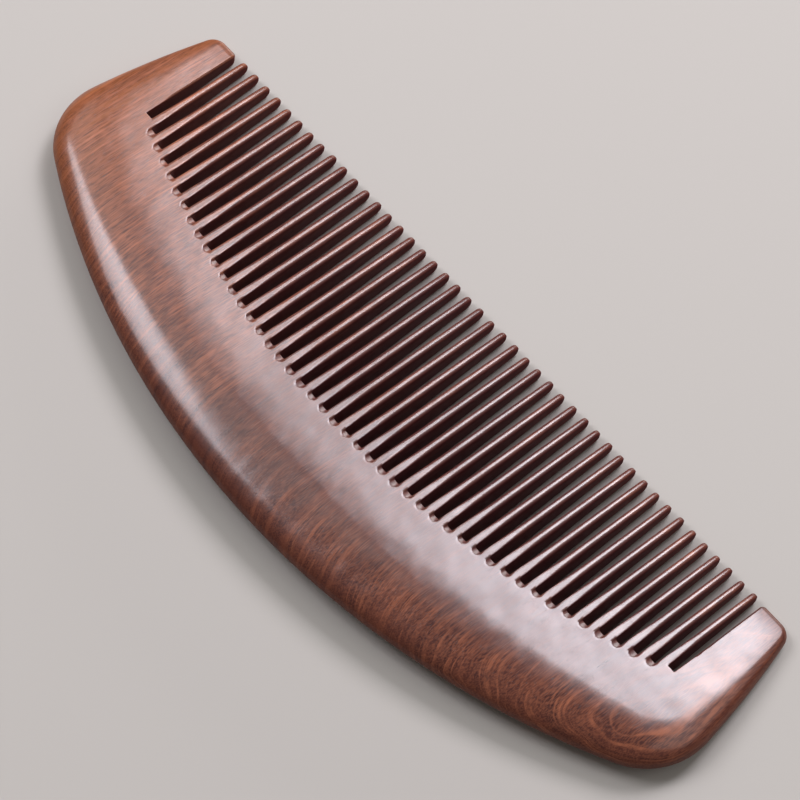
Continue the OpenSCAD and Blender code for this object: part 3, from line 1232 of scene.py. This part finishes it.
@dataclass(frozen=True)
class Sandalwood:
    """Oiled and polished dark red-brown sandalwood, its grain along the teeth.

    Lengths are in millimetres about the comb's middle plane. A pair holds what an effect starts at,
    and what is added to it as whatever drives it goes from 0 to 1.
    """

    placement: Placement
    name: str = "sandalwood"
    growth: Growth = Growth()
    fibres: Fibres = Fibres()

    # colours of the heartwood, the wood between, its warm streaks, the sapwood, pores and walls
    heart: Triple = (0.056, 0.013, 0.011)
    body: Triple = (0.110, 0.028, 0.017)
    amber: Triple = (0.46, 0.150, 0.072)
    sap: Triple = (0.31, 0.090, 0.020)
    pore: Triple = (0.018, 0.005, 0.004)
    # the walls' dark maroon is partly their own sawn colour and partly painted shade between the
    # teeth
    wall: Triple = (0.090, 0.009, 0.012)

    # the pith that the growth bands lie round, how far they waver and how close they lie, and the
    # width of a fleck
    pith: Triple = (84.0, 0.0, 44.0)
    waver: float = 5.0
    tightness: float = 1.8
    fleck_w: float = 0.21

    # streaks and flecks fade on the face, along the comb from calm_from to calm_to
    calm_from: float = -20.0
    calm_to: float = 35.0
    calm: Pair = (1.0, -0.75)
    # the wood is warmer outwards from the heart and in patches
    heart_x: float = 0.0
    heart_w: float = 16.0
    warm_w: float = 56.0
    warm_outwards: float = 0.55
    warm_patches: float = 0.45
    patches: Pattern = Pattern(cells=(0.09, 0.05, 0.10), detail=2.0, low=0.36, high=0.64)
    # the left end is sapwood, more in the pale growth bands
    sap_from: float = -52.0
    sap_to: float = -90.0
    sap_bands: Pair = (0.3, 0.7)

    # amber in the growth lines, broken along them, in short strokes and in flecks, by warmth
    streaks: Pair = (0.12, 0.80)
    unbroken: Pair = (0.4, 0.6)
    breaks: Pattern = Pattern(cells=(0.45, 0.22, 0.45), detail=1.0, low=0.40, high=0.60)
    strokes: Pair = (0.04, 0.22)
    stroke: Pattern = Pattern(cells=(1.1, 0.28, 1.1), detail=1.0, low=0.46, high=0.64)
    flecks: Pair = (0.11, 0.30)
    # what wear leaves of them, and how amber it makes the wood by itself
    unworn: Pair = (1.0, -0.65)
    worn_amber: float = 0.05
    # how strongly the colours of the pores and of the sawn walls cover the wood; the walls' colour
    # is partly painted shade
    pore_share: float = 0.5
    wall_and_shade_share: float = 0.8

    # roughness, and what pores, fibres, wear and the saw add to it
    roughness: float = 0.22
    pore_rough: float = 0.15
    fibre_rough: float = 0.08
    worn_rough: float = 0.22
    sawn_rough: float = 0.40
    # the polished coat, which the saw removes and wear thins, and the gloss of the wood under it
    coat: Pair = (1.0, -1.0)
    worn_coat: Pair = (1.0, -0.8)
    polish: float = 0.17
    gloss: Pair = (0.5, -0.4)

    # heights of the slow swell, the fibres and the pores in the relief, and the relief's depth
    swell: Pattern = Pattern(cells=(0.20, 0.13, 0.20), detail=1.0)
    swell_h: float = 6.5
    fibre_h: float = 0.5
    pore_h: float = -0.12
    relief_h: float = 0.06
    relief_share: float = 0.6

    def build(self) -> bpy.types.Material:
        """Makes the material.

        Returns:
            The material, which reads object coordinates turned back to the comb's middle plane.
        """
        material = bpy.data.materials.new(self.name)
        material.use_nodes = True
        material.node_tree.nodes.clear()
        nodes = Nodes(material.node_tree)
        read = self.readings(nodes)
        thinned = nodes.line(read.wear, *self.worn_coat)
        shader = nodes.add(
            "ShaderNodeBsdfPrincipled",
            Base_Color=self.colour(nodes, read),
            Roughness=self.rough(nodes, read),
            Normal=self.relief(nodes, read),
            Coat_Weight=nodes.times(nodes.line(read.sawn, *self.coat), thinned),
            Coat_Roughness=self.polish,
            Specular_IOR_Level=nodes.line(read.wear, *self.gloss),
        )
        nodes.add("ShaderNodeOutputMaterial", Surface=shader.outputs[0])
        return material

    def readings(self, nodes: Nodes) -> Readings:
        """Adds the nodes that the rest is worked out from.

        Args:
            nodes: The material's nodes.

        Returns:
            The readings. A place is an object coordinate turned back to the middle plane.
        """
        location, rotation = self.placement.unlaid()
        place = nodes.add(
            "ShaderNodeMapping",
            Vector=nodes.add("ShaderNodeTexCoord").outputs["Object"],
            Location=location,
            Rotation=rotation,
            Scale=(1 / MM,) * 3,
        ).outputs[0]
        growth = nodes.add(
            "ShaderNodeGroup",
            node_tree=self.growth.build(),
            Place=place,
            Pith=self.pith,
            Waver=self.waver,
            Tightness=self.tightness,
        )
        fibres = nodes.add(
            "ShaderNodeGroup",
            node_tree=self.fibres.build(),
            Place=place,
            Width=self.fleck_w,
        )
        wear, sawn = nodes.mark(Mark.WEAR), nodes.mark(Mark.SAWN)
        return Readings(place, growth.outputs, fibres.outputs, wear, sawn)

    def warmth(self, nodes: Nodes, read: Readings) -> Socket:
        """Works out how warm the wood is, from its patches and the distance from its heart.

        Args:
            nodes: The material's nodes.
            read: What they read.

        Returns:
            Warmth, 0 to 1.
        """
        from_heart = nodes.maths("SUBTRACT", nodes.part(read.place, "X"), self.heart_x)
        outward = nodes.between(nodes.maths("ABSOLUTE", from_heart), self.heart_w, self.warm_w)
        patches = nodes.pattern(read.place, self.patches)
        return nodes.line(patches, nodes.times(outward, self.warm_outwards), self.warm_patches)

    def colour(self, nodes: Nodes, read: Readings) -> Socket:
        """Lays the wood's colours over each other.

        The growth bands come first, and then the sapwood, the amber streaks and flecks, the pores,
        the worn places and the sawn walls, whose darker maroon is partly painted shade between the
        teeth.

        Args:
            nodes: The material's nodes.
            read: What they read.

        Returns:
            The colour's socket.
        """
        place, growth, fibres = read.place, read.growth, read.fibres
        across, warmth = nodes.part(place, "X"), self.warmth(nodes, read)
        calm = nodes.between(across, self.calm_from, self.calm_to)
        calm = nodes.times(calm, nodes.mark(Mark.FACE))
        kept = nodes.times(nodes.line(calm, *self.calm), nodes.line(read.wear, *self.unworn))
        sap = nodes.between(across, self.sap_from, self.sap_to)
        sap = nodes.times(sap, nodes.line(growth["Bands"], *self.sap_bands))

        streak = nodes.times(growth["Lines"], nodes.line(warmth, *self.streaks))
        streak = nodes.times(streak, nodes.line(nodes.pattern(place, self.breaks), *self.unbroken))
        stroke = nodes.times(nodes.pattern(place, self.stroke), nodes.line(warmth, *self.strokes))
        streak = nodes.times(nodes.maths("MAXIMUM", streak, stroke), kept)
        fleck = nodes.times(nodes.times(fibres["Flecks"], nodes.line(warmth, *self.flecks)), kept)

        colour = nodes.mix(growth["Bands"], self.heart, self.body)
        colour = nodes.mix(sap, colour, self.sap)
        colour = nodes.mix(streak, colour, self.amber)
        colour = nodes.mix(fleck, colour, self.amber)
        colour = nodes.mix(nodes.times(fibres["Pores"], self.pore_share), colour, self.pore)
        colour = nodes.mix(nodes.times(read.wear, self.worn_amber), colour, self.amber)
        # the sawn walls' darker maroon: partly the walls' own colour, partly painted shade in the
        # slots and beside the teeth's highlights
        return nodes.mix(nodes.times(read.sawn, self.wall_and_shade_share), colour, self.wall)

    def rough(self, nodes: Nodes, read: Readings) -> Socket:
        """Adds up the wood's roughness.

        Args:
            nodes: The material's nodes.
            read: What they read.

        Returns:
            The roughness's socket.
        """
        rough = nodes.line(read.fibres["Pores"], self.roughness, self.pore_rough)
        rough = nodes.line(read.fibres["Fibres"], rough, self.fibre_rough)
        rough = nodes.line(read.wear, rough, self.worn_rough)
        return nodes.line(read.sawn, rough, self.sawn_rough)

    def relief(self, nodes: Nodes, read: Readings) -> Socket:
        """Bends the normals as the polished surface's slow swell, fibres and pores do.

        Args:
            nodes: The material's nodes.
            read: What they read.

        Returns:
            The normal's socket.
        """
        relief = nodes.times(read.fibres["Fibres"], self.fibre_h)
        relief = nodes.line(nodes.noise(read.place, self.swell), relief, self.swell_h)
        relief = nodes.line(read.fibres["Pores"], relief, self.pore_h)
        depth = {"Strength": self.relief_share, "Distance": self.relief_h * MM}
        return nodes.add("ShaderNodeBump", Height=relief, **depth).outputs[0]


@dataclass(frozen=True)
class Floor:
    """A plain pale floor, in metres."""

    size: float = 4.0
    colour: Triple = (0.53, 0.505, 0.465)
    roughness: float = 0.7

    def build(self) -> bpy.types.Object:
        """Makes the floor as stage, which isn't part of the comb.

        Returns:
            The floor's object.
        """
        half = self.size / 2
        corners = [(-half, -half, 0), (half, -half, 0), (half, half, 0), (-half, half, 0)]
        mesh = bpy.data.meshes.new("floor")
        mesh.from_pydata(corners, [], [(0, 1, 2, 3)])
        floor = bpy.data.objects.new("floor", mesh)
        bpy.context.scene.collection.objects.link(floor)
        material = bpy.data.materials.new("floor_paper")
        material.use_nodes = True
        shader = material.node_tree.nodes["Principled BSDF"]
        shader.inputs["Base Color"].default_value = (*self.colour, 1.0)
        shader.inputs["Roughness"].default_value = self.roughness
        mesh.materials.append(material)
        return floor


@dataclass(frozen=True)
class Viewpoint:
    """The photograph's viewpoint: an orbit about a place on the floor.

    Lengths are in metres, angles in degrees, and the lens and the sensor in millimetres.
    """

    target: Triple = (-0.0005, 0.0072, 0.0)
    distance: float = 0.8036
    azimuth: float = 46.08
    elevation: float = 64.70
    roll: float = 3.52
    lens: float = 187.7
    sensor: float = 36.0

    def build(self) -> bpy.types.Object:
        """Makes the scene's camera.

        Returns:
            The camera's object.
        """
        camera = bpy.data.objects.new("camera", bpy.data.cameras.new("camera"))
        bpy.context.scene.collection.objects.link(camera)
        camera.data.lens = self.lens
        camera.data.sensor_width = self.sensor
        turn, rise = math.radians(self.azimuth), math.radians(self.elevation)
        level = math.cos(rise)
        back = Vector((math.sin(turn) * level, -math.cos(turn) * level, math.sin(rise)))
        aim = back.to_track_quat("Z", "Y").to_matrix().to_4x4()
        aim = aim @ Matrix.Rotation(math.radians(self.roll), 4, "Z")
        camera.matrix_world = Matrix.Translation(Vector(self.target) + self.distance * back) @ aim
        bpy.context.scene.camera = camera
        return camera


@dataclass(frozen=True)
class Softbox:
    """A rectangular soft light that faces the comb, in metres and watts."""

    kind: Light
    # from the comb towards the light
    direction: Triple
    distance: float
    size: Pair
    power: float
    colour: Triple = (1.0, 1.0, 1.0)

    def build(self) -> bpy.types.Object:
        """Makes the light.

        Returns:
            The light's object.
        """
        data = bpy.data.lights.new(self.kind.value, "AREA")
        data.shape = "RECTANGLE"
        data.size, data.size_y = self.size
        data.energy = self.power
        data.color = self.colour
        light = bpy.data.objects.new(self.kind.value, data)
        bpy.context.scene.collection.objects.link(light)
        away = Vector(self.direction).normalized()
        aim = away.to_track_quat("Z", "Y").to_matrix().to_4x4()
        light.matrix_world = Matrix.Translation(away * self.distance) @ aim
        return light


SOFTBOXES = (
    Softbox(
        kind=Light.SHEEN,
        direction=(-0.145, 0.675, 0.723),
        distance=1.2,
        size=(0.42, 0.42),
        power=6.0,
        colour=(0.95, 0.92, 1.0),
    ),
    Softbox(
        kind=Light.HALO,
        direction=(-0.145, 0.685, 0.714),
        distance=1.25,
        size=(0.49, 0.56),
        power=2.6,
        colour=(0.95, 0.92, 1.0),
    ),
    Softbox(
        kind=Light.GLOW,
        direction=(-0.412, 0.565, 0.714),
        distance=1.2,
        size=(0.12, 0.36),
        power=1.05,
        colour=(1.0, 0.90, 0.93),
    ),
    Softbox(
        kind=Light.STREAK,
        direction=(-0.57, -0.22, 0.79),
        distance=1.2,
        size=(0.50, 0.54),
        power=5.4,
        colour=(0.95, 0.93, 1.0),
    ),
    Softbox(
        kind=Light.LOW,
        direction=(-0.31, 0.94, 0.14),
        distance=1.2,
        size=(0.8, 0.30),
        power=5.5,
    ),
    Softbox(
        kind=Light.FILL,
        direction=(-0.56, 0.12, 0.82),
        distance=1.5,
        size=(0.9, 1.0),
        power=2.7,
    ),
    Softbox(
        kind=Light.SIDE,
        direction=(0.50, 0.35, 0.79),
        distance=1.5,
        size=(1.0, 1.0),
        power=2.6,
    ),
)


@dataclass(frozen=True)
class Surroundings:
    """The soft even light that fills the studio."""

    colour: Triple = (1.0, 0.98, 0.95)
    strength: float = 0.15

    def build(self) -> bpy.types.World:
        """Makes the scene's world.

        Returns:
            The world.
        """
        world = bpy.data.worlds.new("studio")
        world.use_nodes = True
        background = world.node_tree.nodes["Background"]
        background.inputs["Color"].default_value = (*self.colour, 1.0)
        background.inputs["Strength"].default_value = self.strength
        bpy.context.scene.world = world
        return world


def main() -> None:
    """Builds the comb, then the studio round it."""
    comb = Comb()
    wood = Sandalwood(comb.placement).build()
    dressed = comb.build(wood)
    log.info("%s: %d faces", dressed.name, len(dressed.data.polygons))
    for piece in (Floor(), Viewpoint(), *SOFTBOXES, Surroundings()):
        log.info("studio: %s", piece.build().name)
    bpy.context.scene.view_settings.view_transform = "Standard"


if __name__ == "__main__":
    logging.basicConfig(level=logging.INFO)
    main()
